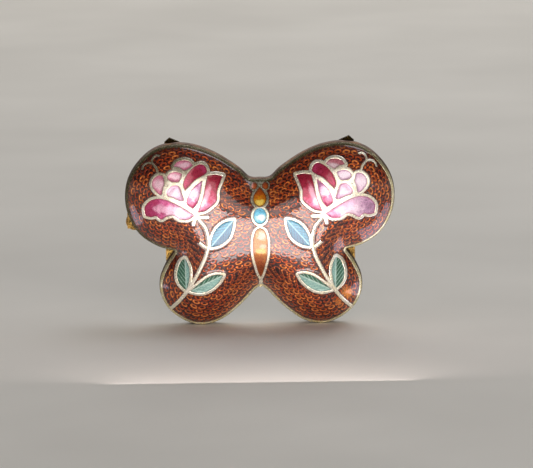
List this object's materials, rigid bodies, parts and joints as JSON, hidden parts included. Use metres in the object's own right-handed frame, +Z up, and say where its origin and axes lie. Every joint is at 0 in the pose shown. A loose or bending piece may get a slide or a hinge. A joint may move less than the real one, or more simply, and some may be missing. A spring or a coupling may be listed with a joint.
{
  "type": "enamelled butterfly brooch",
  "caption": "Domed butterfly brooch with wire-divided enamel flowers on its wings, and a riveted pin with a locking catch behind.",
  "frame": {"origin": "below the middle of the brooch, on the level of the lower lobes' feet, in the plane of the shell's rear edge to within half a millimetre of the box's middle", "axes": "+X from the left wing to the right wing as seen from the front, +Z up as worn, and the enamelled front faces -Y"},
  "size_m": [0.05, 0.0156, 0.0349],
  "materials": {
    "copper_shell": "raised copper sheet, tarnished",
    "turquoise_lining": "turquoise counter-enamel, glossy with fine pits",
    "rim_gilding": "polished pale gilding",
    "wire_gilding": "flat polished wires, pale gilding with dark specks",
    "amber_ground": "transparent red-brown enamel over a stamped scale pattern",
    "magenta_enamel": "mottled magenta enamel shading to pink",
    "rose_enamel": "pearly pale rose enamel with wine edges",
    "blue_enamel": "sky-blue enamel with darker veins",
    "green_enamel": "half dark, half pale green enamel",
    "honey_enamel": "amber enamel with honey bands",
    "turquoise_enamel": "glossy light turquoise enamel",
    "back_brass": "cast and sheet brass, rubbed satin",
    "steel": "drawn wire, satin"
  },
  "bodies": {
    "brooch": {"base_shell": "copper_shell", "counter_enamel": "turquoise_lining", "rim_wire": "rim_gilding", "ground_enamel_left": "amber_ground", "ground_enamel_right": "amber_ground", "flower_wires_left": "wire_gilding", "flower_wires_right": "wire_gilding", "stem_wire_left": "wire_gilding", "stem_wire_right": "wire_gilding", "leaf_wires_left": "wire_gilding", "leaf_wires_right": "wire_gilding", "tendril_wire_left": "wire_gilding", "tendril_wire_right": "wire_gilding", "body_wires": "wire_gilding", "petal_lower_left": "rose_enamel", "petal_lower_right": "rose_enamel", "petal_inner_left": "magenta_enamel", "petal_inner_right": "magenta_enamel", "petal_narrow_left": "rose_enamel", "petal_narrow_right": "rose_enamel", "petal_crown_left": "magenta_enamel", "petal_crown_right": "magenta_enamel", "petal_top_left": "rose_enamel", "petal_top_right": "rose_enamel", "petal_small_left": "rose_enamel", "petal_small_right": "rose_enamel", "petal_heart_left": "rose_enamel", "petal_heart_right": "rose_enamel", "petal_outer_left": "rose_enamel", "petal_outer_right": "rose_enamel", "blue_leaf_left": "blue_enamel", "blue_leaf_right": "blue_enamel", "low_leaf_left": "green_enamel", "low_leaf_right": "green_enamel", "tall_leaf_left": "green_enamel", "tall_leaf_right": "green_enamel", "eyes": "honey_enamel", "head": "honey_enamel", "thorax_bead": "turquoise_enamel", "abdomen": "honey_enamel", "strap_left": "back_brass", "strap_right": "back_brass", "pin_bar": "back_brass", "hinge_bracket": "back_brass", "hinge_rivet": "steel", "catch_housing": "back_brass"},
    "pin": {"pin_stem": "steel"},
    "catch": {"catch_roller": "back_brass"}
  },
  "joints": [
    {"name": "pin_swing", "type": "hinge", "parent": "brooch", "child": "pin", "pos_m": [-0.0236, 0.00635, 0.0191], "axis": [0, 0, 1], "range_deg": [0, 100]},
    {"name": "catch_turn", "type": "hinge", "parent": "brooch", "child": "catch", "pos_m": [0.0185, 0.00635, 0.0191], "axis": [1, 0, 0], "range_deg": [0, 104]}
  ]
}
